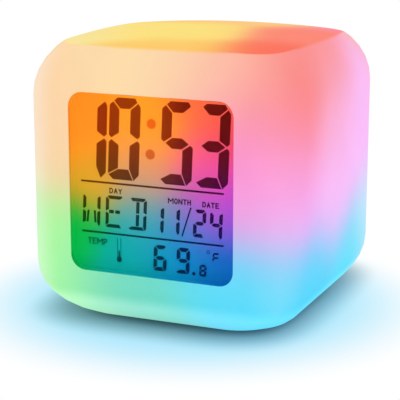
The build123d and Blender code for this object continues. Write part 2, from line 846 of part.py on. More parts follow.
# Buzzer with its sound port
buzzer_z = board_z + buzzer_rise
buzzer_front_y = board_front_y - buzzer_height
with BuildPart() as buzzer:
    with BuildSketch(across(board_front_y)):
        with Locations((0, buzzer_z)):
            Circle(buzzer_diameter / 2)
    extrude(amount=buzzer_height)
    with BuildSketch(across(buzzer_front_y + buzzer_port_depth)):
        with Locations((0, buzzer_z)):
            RegularPolygon(buzzer_port_diameter / 2, few_sides)
    extrude(amount=buzzer_port_depth, mode=Mode.SUBTRACT)
keep(buzzer, "buzzer")

# Temperature sensor on two leads behind the vents
with BuildPart() as temperature_sensor:
    with BuildSketch(across(board_rear_y + sensor_height)):
        with Locations((vent_x, switch_z)):
            with GridLocations(sensor_lead_spacing, 0, 2, 1):
                Rectangle(sensor_lead_width, sensor_lead_width)
    extrude(amount=sensor_height)
    with BuildSketch(across(board_rear_y + sensor_height + sensor_bead_length)):
        with Locations((vent_x, switch_z)):
            RegularPolygon(sensor_bead_radius, few_sides)
    extrude(amount=sensor_bead_length)
keep(temperature_sensor, "temperature_sensor")

# Small push switches on the board
with BuildPart() as tact_switches:
    with BuildSketch(across(tact_rear_y)):
        with Locations(*[(x, button_z) for x in button_places]):
            Rectangle(tact_size, tact_size)
    extrude(amount=tact_height)
    with BuildSketch(across(tact_rear_y)):
        with Locations(*[(x, button_z) for x in button_places]):
            RegularPolygon(plunger_diameter / 2 + plunger_fit, few_sides)
    extrude(amount=tact_well, mode=Mode.SUBTRACT)
keep(tact_switches, "tact_switches")

# Buttons with their stems, each on the plunger of its switch
for name, x in zip(button_names, button_places):
    with BuildPart() as button:
        with BuildSketch(across(button_outer_y)):
            with Locations((x, button_z)):
                Circle(button_diameter / 2)
        extrude(amount=button_outer_y - button_flange_y)
        chamfer(button.faces().sort_by(Axis.Y)[-1].edges(), button_edge)
        with BuildSketch(across(button_flange_y)):
            with Locations((x, button_z)):
                Rectangle(button_flange_size, button_flange_size)
        extrude(amount=button_flange_thickness)
        with BuildSketch(across(button_stem_y)):
            with Locations((x, button_z)):
                Rectangle(button_stem_size, button_stem_size)
        extrude(amount=button_stem_y - plunger_rear_y)
    keep(button, f"{name}_button")
    with BuildPart() as plunger:
        with BuildSketch(across(plunger_rear_y)):
            with Locations((x, button_z)):
                RegularPolygon(plunger_diameter / 2, few_sides)
        extrude(amount=plunger_proud + plunger_depth)
    keep(plunger, f"{name}_plunger")

# Slide switch on the board: body, lever and the knob that comes out of the cover
with BuildPart() as switch_body:
    with BuildSketch(across(switch_rear_y)):
        with Locations((switch_x, switch_z)):
            Rectangle(switch_body_length, switch_body_width)
    extrude(amount=switch_body_height)
    with BuildSketch(across(switch_rear_y)):
        with Locations((switch_x, switch_z)):
            Rectangle(lever_length + switch_travel + 2 * knob_fit, lever_width + 2 * knob_fit)
    extrude(amount=switch_well, mode=Mode.SUBTRACT)
keep(switch_body, "switch_body")

with BuildPart() as switch_lever:
    with BuildSketch(across(lever_rear_y)):
        with Locations((knob_x, switch_z)):
            Rectangle(lever_length, lever_width)
    extrude(amount=lever_height + lever_depth)
keep(switch_lever, "switch_lever")

with BuildPart() as light_switch_knob:
    with BuildSketch(across(cover_outer_y + thumb_proud)):
        with Locations((knob_x, switch_z)):
            Rectangle(thumb_length, thumb_width)
    extrude(amount=cover_outer_y + thumb_proud - knob_plate_y)
    chamfer(light_switch_knob.faces().sort_by(Axis.Y)[-1].edges(), thumb_edge)
    with BuildSketch(across(knob_plate_y)):
        with Locations((knob_x, switch_z)):
            Rectangle(knob_plate_length, knob_plate_width)
    extrude(amount=knob_plate_thickness)
    with BuildSketch(across(knob_stem_y)):
        with Locations((knob_x, switch_z)):
            Rectangle(knob_stem_length, knob_stem_width)
    extrude(amount=knob_stem_y - knob_end_y)
    with BuildSketch(across(lever_rear_y + knob_end_gap)):
        with Locations((knob_x, switch_z)):
            Rectangle(lever_length + 2 * lever_fit, lever_width + 2 * lever_fit)
    extrude(amount=knob_overlap + knob_end_gap, mode=Mode.SUBTRACT)
keep(light_switch_knob, "light_switch_knob")
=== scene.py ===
"""Cube night-light alarm clock: its looks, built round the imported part.

Lengths are metres in the part's own frame: the clock stands on z = 0, its display faces -Y and its cover +Y.
"""

import math

import bmesh
import bpy
from mathutils import Matrix, Vector


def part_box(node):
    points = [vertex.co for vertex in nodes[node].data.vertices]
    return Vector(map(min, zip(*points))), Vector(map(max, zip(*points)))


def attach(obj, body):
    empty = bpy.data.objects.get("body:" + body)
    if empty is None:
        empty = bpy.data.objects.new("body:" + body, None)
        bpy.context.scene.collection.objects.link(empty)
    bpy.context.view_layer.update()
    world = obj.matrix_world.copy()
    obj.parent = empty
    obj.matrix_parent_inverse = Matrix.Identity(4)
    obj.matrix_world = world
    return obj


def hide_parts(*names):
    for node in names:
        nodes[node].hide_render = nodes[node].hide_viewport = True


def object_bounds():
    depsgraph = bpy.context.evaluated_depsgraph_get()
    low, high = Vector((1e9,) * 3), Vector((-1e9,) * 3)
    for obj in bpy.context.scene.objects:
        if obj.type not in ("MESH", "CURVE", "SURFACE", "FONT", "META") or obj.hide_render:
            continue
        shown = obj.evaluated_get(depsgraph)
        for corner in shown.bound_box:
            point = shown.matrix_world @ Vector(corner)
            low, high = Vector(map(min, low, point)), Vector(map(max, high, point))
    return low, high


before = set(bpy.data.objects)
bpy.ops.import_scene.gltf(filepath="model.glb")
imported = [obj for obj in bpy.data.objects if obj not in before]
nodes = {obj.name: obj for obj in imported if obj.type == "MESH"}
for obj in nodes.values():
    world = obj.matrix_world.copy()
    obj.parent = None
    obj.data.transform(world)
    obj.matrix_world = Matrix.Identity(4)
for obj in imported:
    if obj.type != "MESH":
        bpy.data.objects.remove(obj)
cad_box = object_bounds()
mm = 0.001
white = "FFFFFF"

# Camera
image_px = 400
focal_px = 1377.5
sensor_mm = 36.0
camera_yaw = math.radians(23.15)
camera_pitch = math.radians(13.58)
camera_distance = 397.5 * mm
aim_right = -2.16 * mm
aim_up = -10.07 * mm

# Light that shines through the cube: colour and the place where it is strongest, in millimetres
cube_glow = {
    "cream": ("FED6A8", (-33, -46, 55)),
    "peach": ("FEDEAA", (0, -46, 76)),
    "shell": ("FEC0A8", (20, -43, 75)),
    "coral": ("FD928C", (40, -12, 80)),
    "salmon": ("FD807A", (40, -32, 62)),
    "rose": ("FE90D0", (28, -43, 48)),
    "pink": ("FEB2DA", (46, -5, 58)),
    "orchid": ("FEC0FE", (45, 26, 52)),
    "lilac": ("FEB2FF", (36, -33, 42)),
    "mauve": ("FFC0FF", (46, -2, 37)),
    "iris": ("CCECFE", (42, 35, 18)),
    "sky": ("60E2FF", (28, -43, 13)),
    "azure": ("5ADCFF", (43, -20, 8)),
    "marine": ("62E6FF", (43, 12, 7)),
    "aqua": ("76DEC8", (-10, -42, 8)),
    "leaf": ("B2FFAC", (-32, -40, 4)),
    "green": ("AEFD9A", (-37, -39, 17)),
    "lime": ("F0F29C", (-46, 4, 40)),
    "mint": ("A6F4A8", (-46, -2, 8)),
    "butter": ("FEE29A", (-44, 4, 68)),
    "pear": ("CCF2A6", (-42, 36, 40)),
    "jade": ("86EBB4", (-34, 38, 8)),
    "seafoam": ("A8E6DC", (4, 42, 4)),
    "honey": ("FFDC86", (-10, 46, 64)),
    "apricot": ("FEB48C", (22, 46, 72)),
}
cube_glow_spread = 16.0 * mm
# The same on the cube's top, whose crease keeps it apart from the sides
top_glow = {
    "lemon": ("FEE280", (-10, -6)),
    "butter": ("FAE69E", (-38, -18)),
    "gold": ("FECA6C", (1, -44)),
    "coral": ("FD7460", (40, -34)),
    "blush": ("FE8A78", (36, 6)),
    "rouge": ("FE90A8", (40, 32)),
    "honey": ("FECC84", (2, 34)),
}
top_glow_spread = 15.0 * mm
top_edge = (32.8 * mm, 33.8 * mm)  # from the cube's axis to where the top's glow turns to the sides'
top_roundness = 5.5  # of its outline: 2 is a circle, and more is squarer
top_height = 70 * mm  # above which a surface counts as the top
edge_highlight_reach = (0.68, 0.95)  # of the way out, where the painted highlight on the upright edges begins and where it is strongest
edge_highlight_left = 0.36  # share of white of the painted highlight along the upright edges on the left
edge_highlight_right = (0.08, 0.02)  # and on the right, below and above a band
edge_highlight_band = (22 * mm, 45 * mm)
foot_bounce_white = (0.24, 0.06)  # share of white of the painted bounce light from the floor at the foot, on the left and on the right
foot_bounce_band = (6 * mm, 11 * mm)
foot_bounce_gain = 0.15  # more painted bounce light, at the foot
cube_cloud_grain = 11 * mm
cube_cloud_detail = 2.0
cube_cloud = (0.97, 1.02)  # of the light, in faint clouds
cube_share = 0.4  # of the room's light that the plastic gives back
cube_emission = 0.63
cube_rough_grain = 4 * mm
cube_rough = (0.34, 0.44)
cube_grain = 1.2 * mm
cube_bump = (0.05, 0.02 * mm)  # strength and depth
smooth_angle = math.radians(24)  # shallower edges are shaded smoothly
weld_distance = 0.002 * mm
glow_gamma = 2.2  # the glow's colours blend as the eye sees them

# Light behind the display, deeper in colour
display_glow = {
    "orange": ("FF8820", (-24, 55)),
    "amber": ("FF9624", (0, 56)),
    "vermilion": ("FF6A3A", (16, 63)),
    "crimson": ("DE3C58", (24, 57)),
    "rose": ("F65880", (14, 47)),
    "magenta": ("D23CC0", (19, 41)),
    "violet": ("8A4CD4", (26, 34)),
    "periwinkle": ("7866C8", (12, 33)),
    "blue": ("0060B0", (21, 20)),
    "cerulean": ("0084B8", (6, 22)),
    "teal": ("009E9A", (-9, 19)),
    "green": ("00B040", (-26, 26)),
    "gold": ("DA9A26", (-21, 41)),
    "clay": ("DE9068", (-2, 43)),
    "sage": ("3CA0AC", (-2, 31)),
}
display_glow_spread = 9.0 * mm
display_share = 0.2  # of the room's light that the display gives back
display_emission = 0.98
display_speck_grain = 0.35 * mm
display_speck = (0.98, 1.02)  # of the light, in fine specks
display_rough_grain = 2 * mm
display_rough = (0.35, 0.45)
foot_shade = 0.8  # painted shade: share of the light left at the display's lower edge
foot_shade_low = 14.5 * mm
foot_shade_high = 21.0 * mm
ink_share = 0.02  # light that passes the ink, and how much more of it where the light is strong
ink_bright_share = 0.28
faint_ink_share = 0.2
faint_ink_bright_share = 0.62
ink_shade = 0.28  # of the ink's light, lost towards the display's upper right
ink_shade_across = (2 * mm, 12 * mm)
ink_shade_up = (24 * mm, 40 * mm)
border_lap = 0.3 * mm  # of the lit border over the polariser's edge, and its distance from the lens's rim
border_inset = 0.2 * mm
window_margin = 1.7 * mm  # from the lens's rim in to just outside the window's wall
lens_ior = 1.1  # low, as of a lens with a film against glare
lens_tint = "FBFCFD"
lens_tint_grain = 9 * mm
lens_rough_grain = 6 * mm
lens_rough = (0.015, 0.035)

# Display figures, in millimetres across the window and up from the floor
figure_thickness = 0.06 * mm
figure_slant = 0.045
figure_offset = (-0.4, -0.15)  # of all the figures together
segments_of = {
    "0": "abcdef", "1": "bc", "2": "abged", "3": "abgcd", "4": "fgbc", "5": "afgcd", "6": "afgecd",
    "8": "abcdefg", "9": "abcdfg", "F": "afge", "W": "efbcnm", "E": "afedpq", "D": "abcdil",
}
# Shares of the stroke: the figures' outer corners, cut from one side to the next, and the segments' tips
top_left_cut_share = (0.72, 0.6)
top_right_cut_share = (0.5, 0.75)
foot_left_cut_share = (0.55, 0.43)
foot_right_cut_share = (0.5, 0.55)
tip_share = 0.25
lean_share = 0.64  # of the stroke, for the leaning strokes of a W
# Each row: figures, their left edges, foot, width, height, stroke, gap
time_row = (("1", "0", "5", "3"), (-23.1, -13.3, 2.0, 12.25), 42.0, 9.1, 22.2, 2.9, 0.25)
day_row = (("W", "E", "D"), (-21.2, -14.3, -7.4), 28.5, 5.3, 8.9, 0.95, 0.16)
date_row = (("1", "1", "2", "4"), (-0.6, 4.0, 11.5, 16.2), 28.4, 3.6, 7.6, 1.0, 0.14)
degree_row = (("6", "9"), (-0.1, 6.6), 17.9, 3.9, 7.2, 1.12, 0.14)
tenth_row = (("8",), (13.3,), 17.8, 2.1, 3.3, 0.68, 0.08)
unit_row = (("F",), (17.1,), 22.0, 2.0, 2.7, 0.5, 0.08)
colon_places = ((-0.3, 57.8), (-0.7, 49.6))
colon_radius = 1.35
point_place = (11.8, 18.3)
point_radius = 0.5
degree_place = (16.0, 24.7)
degree_radius = 0.5
degree_stroke = 0.16
slash_foot = (8.4, 28.2)
slash_head = (11.0, 36.3)
slash_stroke = 0.42
rule_heights = (40.8, 26.8)
rule_left = -21.4
rule_right = 20.3
rule_stroke = 0.52
thermometer_x = -10.2
thermometer_bulb = (19.8, 0.8)  # height and radius
thermometer_tube = (20.3, 25.7, 0.5)  # foot, head and half width
thermometer_wall = 0.14
thermometer_column = (1.9, 0.46)  # height and width
ring_points = 28  # round the edge of a dot or a ring
# Each caption: words, left edge, foot, width, cap height
captions = (
    ("DAY", -12.9, 38.0, 3.8, 1.5), ("MONTH", 4.35, 36.85, 6.65, 1.5), ("DATE", 14.25, 36.7, 4.75, 1.5),
    ("TEMP", -19.6, 23.3, 5.8, 1.85),
)
caption_stroke = 0.3

# Letters: the middle lines of their strokes, in shares of the letter's width and height
letter_paths = {
    "A": (((0.02, 0.03), (0.48, 0.96)), ((0.52, 0.96), (0.98, 0.03)), ((0.2, 0.35), (0.8, 0.35))),
    "D": (((0, 0), (0, 1), (0.6, 1), (1, 0.7), (1, 0.3), (0.6, 0), (0, 0)),),
    "E": (((1, 0), (0, 0), (0, 1), (1, 1)), ((0.15, 0.5), (0.8, 0.5))),
    "F": (((0, 0), (0, 1), (1, 1)), ((0.15, 0.5), (0.8, 0.5))),
    "H": (((0, 0), (0, 1)), ((1, 0), (1, 1)), ((0.15, 0.5), (0.85, 0.5))),
    "M": (((0, 0), (0, 1)), ((0.05, 0.95), (0.5, 0.4), (0.95, 0.95)), ((1, 1), (1, 0))),
    "N": (((0, 0), (0, 1)), ((0.08, 0.92), (0.92, 0.08)), ((1, 0), (1, 1))),
    "O": (((0.3, 0), (0, 0.25), (0, 0.75), (0.3, 1), (0.7, 1), (1, 0.75), (1, 0.25), (0.7, 0), (0.3, 0)),),
    "P": (((0, 0), (0, 1), (0.7, 1), (1, 0.85), (1, 0.6), (0.7, 0.45), (0.15, 0.45)),),
    "S": (
        (
            (0, 0), (0.7, 0), (1, 0.15), (1, 0.35), (0.7, 0.5),
            (0.3, 0.5), (0, 0.65), (0, 0.85), (0.3, 1), (1, 1),
        ),
    ),
    "T": (((0.5, 0), (0.5, 0.9)), ((0, 1), (1, 1))),
    "U": (((0, 1), (0, 0.25), (0.3, 0), (0.7, 0), (1, 0.25), (1, 1)),),
    "W": (
        ((0.02, 0.97), (0.23, 0.04)), ((0.27, 0.04), (0.49, 0.68)),
        ((0.51, 0.68), (0.73, 0.04)), ((0.77, 0.04), (0.98, 0.97)),
    ),
    "Y": (((0.05, 0.95), (0.5, 0.5), (0.95, 0.95)), ((0.5, 0.5), (0.5, 0))),
    "Z": (((0, 1), (1, 1)), ((0.92, 0.9), (0.08, 0.1)), ((0, 0), (1, 0))),
}
wide_letters = {"M": 1.6, "N": 1.15, "W": 1.6}  # widths next to the other letters'
letter_gap = 0.18  # of a letter's width
mitre_limit = 1.6  # of the stroke, where a line turns sharply

# Words on the cover
cover_word_height = 1.4
cover_word_stroke = 0.24
cover_letter_width = 0.75  # of the height
cover_word_gap = 0.6
cover_word_thickness = 0.05 * mm
switch_slot_half = 2.8  # light switch's slot, about a middle that lies off the knob at rest
switch_slot_shift = 1.0
switch_word_gap = 0.9
# Arrow on the door under its tongue: bar and point, across and up
door_arrow = (
    ((-1.7, 44.2), (1.7, 44.2), (1.7, 44.7), (-1.7, 44.7)),
    ((-1.7, 43.6), (0, 41.2), (1.7, 43.6)),
)

# Battery cells: their pale end, from the nub's tip, and the bare metal at the nub and at the other end
cell_band = 13 * mm
cell_tips = (1.3 * mm, 0.5 * mm)
cell_edge = 0.2 * mm
cell_wrap = "51646F"
cell_pale = "CFD3D4"
cell_bare = "C4C6C8"
cell_worn = "9A9CA0"
cell_wear_grain = 3 * mm
cell_wear = 0.22  # where the wrap is worn most
cell_metallic = 0.3  # of the wrap
cell_rough_grain = 5 * mm
cell_rough = (0.28, 0.42)

# Moulded plastic: patches of colour and of gloss, and a fine grain
plastic_tint = 0.05
plastic_tint_grain = 14 * mm
plastic_rough_grain = 3 * mm
plastic_rough_range = 0.06
plastic_grain = 0.5 * mm
plastic_bump = (0.12, 0.02 * mm)  # strength and depth

# Plated metal: brushed streaks
streak_grain = 0.6 * mm
streak_stretch = (0.15, 1, 1)
streak_dark = 0.82  # of the colour
streak_rough = (-0.08, 0.1)  # to either side of the metal's own roughness
streak_bump = (0.08, 0.01 * mm)

# Circuit board: solder mask, and tracks under it
mask_green = "12572F"
track_green = "2B7A47"
track_size = 3.2 * mm
track_edge = (0.04, 0.09)  # of that size
track_bump = (0.2, 0.03 * mm)
board_rough_grain = 2 * mm
board_rough = (0.25, 0.4)

# Stage
floor_radius = 3.0
floor_points = 96
floor_cloud_grain = 60 * mm
floor_cloud = (0.98, 1.0)
floor_rough = 0.8
floor_specular = 0.1
# Painted pool of the clock's light on the floor
light_pool_colour = "B4EAFD"
light_pool_place = (-2 * mm, -4 * mm, 0)
light_pool_inner = 38 * mm
light_pool_outer = 74 * mm
# Painted shadow on the floor round the clock
painted_shadow_colour = "6C96A6"
painted_shadow_place = (-2.5 * mm, 7 * mm, 0)
painted_shadow_stretch = (1, 1.17, 1)
painted_shadow_roundness = 4.0
painted_shadow_inner = 31 * mm
painted_shadow_outer = 45.5 * mm
painted_crease_shadow_colour = "34545F"  # painted shadow, close under the clock's rounded foot
painted_crease_shadow_inner = 26 * mm
painted_crease_shadow_outer = 33.5 * mm
floor_fade_inner = 31 * mm
floor_fade_outer = 48 * mm
floor_fade_least = 0.55  # of the light that the floor shows of its own, beside the clock
world_level = 0.7
# Each lamp: place and size in metres, power in watts
lamps = {
    "key": ((-0.55, -0.75, 0.95), 0.9, 2.6),
    "fill": ((0.85, -0.35, 0.55), 0.8, 1.4),
    "back": ((0.1, 0.9, 0.7), 0.9, 1.3),
}


def parts_of(code):
    """Red, green and blue of a hex code, each from 0 to 1."""
    return [int(code[i:i + 2], 16) / 255 for i in (0, 2, 4)]


def srgb(code):
    """Linear colour, with alpha, of a hex code."""
    parts = parts_of(code)
    return tuple(((p + 0.055) / 1.055) ** 2.4 if p > 0.04045 else p / 12.92 for p in parts) + (1.0,)


class Graph:
    """Node tree of one material, with short calls that add nodes and join them."""

    def __init__(self, name):
        self.material = bpy.data.materials.new(name)
        self.material.use_nodes = True
        self.tree = self.material.node_tree
        self.shader = self.tree.nodes["Principled BSDF"]
        self.output = self.tree.nodes["Material Output"]

    def node(self, kind, **settings):
        made = self.tree.nodes.new(kind)
        for key, value in settings.items():
            setattr(made, key, value)
        return made

    def put(self, socket, value):
        """Join an output to the socket, or write a plain value on it."""
        if isinstance(value, bpy.types.NodeSocket):
            self.tree.links.new(value, socket)
        else:
            socket.default_value = value

    def math(self, operation, *values):
        made = self.node("ShaderNodeMath", operation=operation)
        for socket, value in zip(made.inputs, values):
            self.put(socket, value)
        return made.outputs[0]

    def vector(self, operation, *values):
        made = self.node("ShaderNodeVectorMath", operation=operation)
        for socket, value in zip(made.inputs, values):
            self.put(socket, value)
        return made.outputs["Value" if operation == "DISTANCE" else "Vector"]

    def scaled(self, colour, share):
        made = self.node("ShaderNodeVectorMath", operation="SCALE")
        self.put(made.inputs["Vector"], colour)
        self.put(made.inputs["Scale"], share)
        return made.outputs["Vector"]

    def mix(self, share, first, second):
        made = self.node("ShaderNodeMix", data_type="RGBA")
        self.put(made.inputs["Factor"], share)
        colours = [socket for socket in made.inputs if socket.type == "RGBA"]
        self.put(colours[0], first)
        self.put(colours[1], second)
        return next(socket for socket in made.outputs if socket.type == "RGBA")

    def ramp(self, value, low, high, from_low=0.0, from_high=1.0):
        """A soft step from low to high, while the value goes through its own range."""
        made = self.node("ShaderNodeMapRange", interpolation_type="SMOOTHSTEP")
        for socket, number in zip(made.inputs, (value, from_low, from_high, low, high)):
            self.put(socket, number)
        return made.outputs["Result"]

    def place(self):
        return self.node("ShaderNodeTexCoord").outputs["Object"]

    def square_distance(self, roundness, middle=(0, 0, 0), stretch=(1, 1, 1)):
        """Distance from an upright axis, in rounded squares about it."""
        split = self.node("ShaderNodeSeparateXYZ")
        away = self.vector("DIVIDE", self.vector("SUBTRACT", self.place(), middle), stretch)
        self.put(split.inputs[0], self.vector("ABSOLUTE", away))
        sides = [self.math("POWER", self.math("DIVIDE", side, mm), roundness) for side in split.outputs[:2]]
        return self.math("MULTIPLY", self.math("POWER", self.math("ADD", *sides), 1 / roundness), mm)

    def noise(self, grain, detail=3.0, stretch=(1, 1, 1)):
        """Even noise whose patches are about one grain across."""
        made = self.node("ShaderNodeTexNoise")
        spot = self.vector("MULTIPLY", self.place(), stretch)
        self.put(made.inputs["Vector"], spot)
        self.put(made.inputs["Scale"], 1 / grain)
        self.put(made.inputs["Detail"], detail)
        return made.outputs["Fac"]

    def bump(self, height, strength, depth):
        made = self.node("ShaderNodeBump")
        self.put(made.inputs["Strength"], strength)
        self.put(made.inputs["Distance"], depth)
        self.put(made.inputs["Height"], height)
        self.put(self.shader.inputs["Normal"], made.outputs["Normal"])

    def set(self, **values):
        for key, value in values.items():
            self.put(self.shader.inputs[key.replace("_", " ")], value)


def glow(graph, spots, spread):
    """Colour of the light at each place: the named colours, blended by how near their spots are."""
    place = graph.place()
    colours = weights = None
    for code, spot in spots:
        near = graph.math("DIVIDE", graph.vector("DISTANCE", place, spot), spread)
        weight = graph.math("EXPONENT", graph.math("MULTIPLY", graph.math("MULTIPLY", near, near), -1.0))
        share = graph.scaled(parts_of(code), weight)
        colours = share if colours is None else graph.vector("ADD", colours, share)
        weights = weight if weights is None else graph.math("ADD", weights, weight)
    blended = graph.node("ShaderNodeGamma")
    graph.put(blended.inputs["Color"], graph.vector("DIVIDE", colours, weights))
    graph.put(blended.inputs["Gamma"], glow_gamma)
    return blended.outputs["Color"]


def cube_glow_spots():
    """Colours and places of the cube's light, in metres."""
    return [(code, Vector(spot) * mm) for code, spot in cube_glow.values()]


def top_glow_spots():
    """The same at the height of the cube's top."""
    return [(code, Vector((x * mm, y * mm, cad_box[1].z))) for code, (x, y) in top_glow.values()]


def display_glow_spots():
    """The same at the depth of the display."""
    return [(code, Vector((x, display_y / mm, z)) * mm) for code, (x, z) in display_glow.values()]


def plastic(name, code, rough=0.42):
    """Moulded plastic with a fine grain and a faint change of colour."""
    graph = Graph(name)
    colour = srgb(code)
    darker = tuple(part * (1 - plastic_tint) for part in colour[:3]) + (1.0,)
    graph.set(Base_Color=graph.mix(graph.noise(plastic_tint_grain), colour, darker))
    gloss = graph.noise(plastic_rough_grain)
    graph.set(Roughness=graph.ramp(gloss, rough - plastic_rough_range, rough + plastic_rough_range))
    graph.bump(graph.noise(plastic_grain), *plastic_bump)
    return graph.material


def metal(name, code, rough=0.3):
    """Plated metal with fine brushed streaks."""
    graph = Graph(name)
    colour = srgb(code)
    darker = tuple(part * streak_dark for part in colour[:3]) + (1.0,)
    streak = graph.noise(streak_grain, stretch=streak_stretch)
    graph.set(Base_Color=graph.mix(streak, colour, darker), Metallic=1.0)
    graph.set(Roughness=graph.ramp(streak, rough + streak_rough[0], rough + streak_rough[1]))
    graph.bump(streak, *streak_bump)
    return graph.material


def cube_material():
    """Milky plastic lit from within by coloured light; painted highlights whiten its edges and foot."""
    graph = Graph("milky_glow")
    low, high = cad_box
    middle = (low + high) / 2
    half = (high - low) / 2
    light = glow(graph, cube_glow_spots(), cube_glow_spread)
    spot = graph.node("ShaderNodeSeparateXYZ")
    graph.put(spot.inputs[0], graph.place())
    high_up = graph.math("GREATER_THAN", spot.outputs["Z"], top_height)
    top_distance = graph.square_distance(top_roundness)
    top = graph.math("MULTIPLY", high_up, graph.ramp(top_distance, 1.0, 0.0, *top_edge))
    # Smaller of the distances from the middle, across and deep: near 1 along the upright edges
    reach = graph.vector("DIVIDE", graph.vector("SUBTRACT", graph.place(), middle), half)
    split = graph.node("ShaderNodeSeparateXYZ")
    graph.put(split.inputs[0], graph.vector("ABSOLUTE", reach))
    # Painted highlight: white along the upright edges, more on the left than on the right
    edge = graph.ramp(graph.math("MINIMUM", *split.outputs[:2]), 0.0, 1.0, *edge_highlight_reach)
    right_edge_highlight = graph.ramp(spot.outputs["Z"], *edge_highlight_right, *edge_highlight_band)
    rim = graph.math("MULTIPLY", edge, graph.ramp(spot.outputs["X"], edge_highlight_left, right_edge_highlight, low.x, high.x))
    # Painted bounce light from the floor: whiter and brighter at the foot
    foot = graph.ramp(spot.outputs["Z"], 1.0, 0.0, *foot_bounce_band)
    foot_bounce_share = graph.math("MULTIPLY", foot, graph.ramp(spot.outputs["X"], *foot_bounce_white, low.x, high.x))
    # The painted highlight and the painted bounce light mix white into the glow
    light = graph.mix(graph.math("MAXIMUM", rim, foot_bounce_share), light, srgb(white))
    light = graph.scaled(light, graph.math("MULTIPLY_ADD", foot, foot_bounce_gain, 1.0))
    light = graph.mix(top, light, glow(graph, top_glow_spots(), top_glow_spread))
    cloud = graph.noise(cube_cloud_grain, detail=cube_cloud_detail)
    light = graph.scaled(light, graph.ramp(cloud, *cube_cloud))
    # Wall of the window, painted with the display's light that falls on it
    lens_low, lens_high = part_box("display_lens")
    off = graph.vector("ABSOLUTE", graph.vector("SUBTRACT", graph.place(), (lens_low + lens_high) / 2))
    off_split = graph.node("ShaderNodeSeparateXYZ")
    graph.put(off_split.inputs[0], off)
    wall_half = (lens_high - lens_low) / 2 - Vector((window_margin, 0, window_margin))
    within = [graph.math("LESS_THAN", away, most) for away, most in zip(off_split.outputs, wall_half)]
    wall = graph.math("MULTIPLY", within[0], graph.math("MULTIPLY", within[1], within[2]))
    light = graph.mix(wall, light, glow(graph, display_glow_spots(), display_glow_spread))
    graph.set(Base_Color=graph.scaled(light, cube_share))
    graph.set(Emission_Color=light, Emission_Strength=cube_emission)
    graph.set(Roughness=graph.ramp(graph.noise(cube_rough_grain), *cube_rough))
    graph.set(Specular_IOR_Level=0.0)
    graph.bump(graph.noise(cube_grain), *cube_bump)
    return graph.material


def display_material(name, share, bright_share=0.0):
    """The lit display, or ink on it that lets only a share of its light through."""
    graph = Graph(name)
    light = glow(graph, display_glow_spots(), display_glow_spread)
    split = graph.node("ShaderNodeSeparateXYZ")
    graph.put(split.inputs[0], graph.place())
    # Painted shade towards the display's lower edge
    shaded = graph.ramp(split.outputs["Z"], foot_shade, 1.0, foot_shade_low, foot_shade_high)
    light = graph.scaled(light, shaded)
    if bright_share:
        across = graph.ramp(split.outputs["X"], 0.0, ink_shade, *ink_shade_across)
        shade = graph.math("MULTIPLY", across, graph.ramp(split.outputs["Z"], 0.0, 1.0, *ink_shade_up))
        light = graph.scaled(light, graph.math("SUBTRACT", 1.0, shade))
        passed = graph.vector("MULTIPLY_ADD", light, (bright_share,) * 3, (share,) * 3)
        light = graph.vector("MULTIPLY", light, passed)
    else:
        light = graph.scaled(light, share)
    speck = graph.ramp(graph.noise(display_speck_grain), *display_speck)
    graph.set(Base_Color=graph.scaled(light, display_share), Emission_Color=graph.scaled(light, speck))
    graph.set(Emission_Strength=display_emission, Specular_IOR_Level=0.0)
    graph.set(Roughness=graph.ramp(graph.noise(display_rough_grain), *display_rough))
    return graph.material


def lens_material():
    """Clear acrylic with a polished face."""
    graph = Graph("clear_acrylic")
    graph.set(Base_Color=graph.mix(graph.noise(lens_tint_grain), srgb(white), srgb(lens_tint)))
    graph.set(Roughness=graph.ramp(graph.noise(lens_rough_grain), *lens_rough))
    graph.set(Transmission_Weight=1.0, IOR=lens_ior)
    return graph.material


def board_material():
    """Green solder mask with faint tracks under it."""
    graph = Graph("solder_mask")
    tracks = graph.node("ShaderNodeTexVoronoi", distance="MANHATTAN", feature="DISTANCE_TO_EDGE")
    graph.put(tracks.inputs["Vector"], graph.place())
    graph.put(tracks.inputs["Scale"], 1 / track_size)
    edge = graph.ramp(tracks.outputs["Distance"], 1.0, 0.0, *track_edge)
    graph.set(Base_Color=graph.mix(edge, srgb(mask_green), srgb(track_green)))
    graph.set(Roughness=graph.ramp(graph.noise(board_rough_grain), *board_rough))
    graph.bump(edge, *track_bump)
    return graph.material


def cell_material(node):
    """Wrapped dry cell: a slate body, a pale end next to its nub and bare metal at both tips."""
    low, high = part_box(node)
    way = 1 if low.x + high.x > 0 else -1  # the nub presses on the nearer end of the bay
    nub_end = high.x if way > 0 else low.x
    graph = Graph(node + "_wrap")
    split = graph.node("ShaderNodeSeparateXYZ")
    graph.put(split.inputs[0], graph.place())
    along = graph.math("MULTIPLY", graph.math("SUBTRACT", nub_end, split.outputs["X"]), way)
    band = graph.ramp(along, 1.0, 0.0, cell_band, cell_band + cell_edge)
    wrap = graph.mix(band, srgb(cell_wrap), srgb(cell_pale))
    wear = graph.mix(graph.ramp(graph.noise(cell_wear_grain), 0.0, cell_wear), wrap, srgb(cell_worn))
    near_tip = graph.ramp(along, 1.0, 0.0, cell_tips[0], cell_tips[0] + cell_edge)
    far_start = high.x - low.x - cell_tips[1]
    far_tip = graph.ramp(along, 0.0, 1.0, far_start - cell_edge, far_start)
    bare = graph.math("MAXIMUM", near_tip, far_tip)
    graph.set(Base_Color=graph.mix(bare, wear, srgb(cell_bare)))
    graph.set(Metallic=graph.ramp(bare, cell_metallic, 1.0))
    graph.set(Roughness=graph.ramp(graph.noise(cell_rough_grain), *cell_rough))
    return graph.material


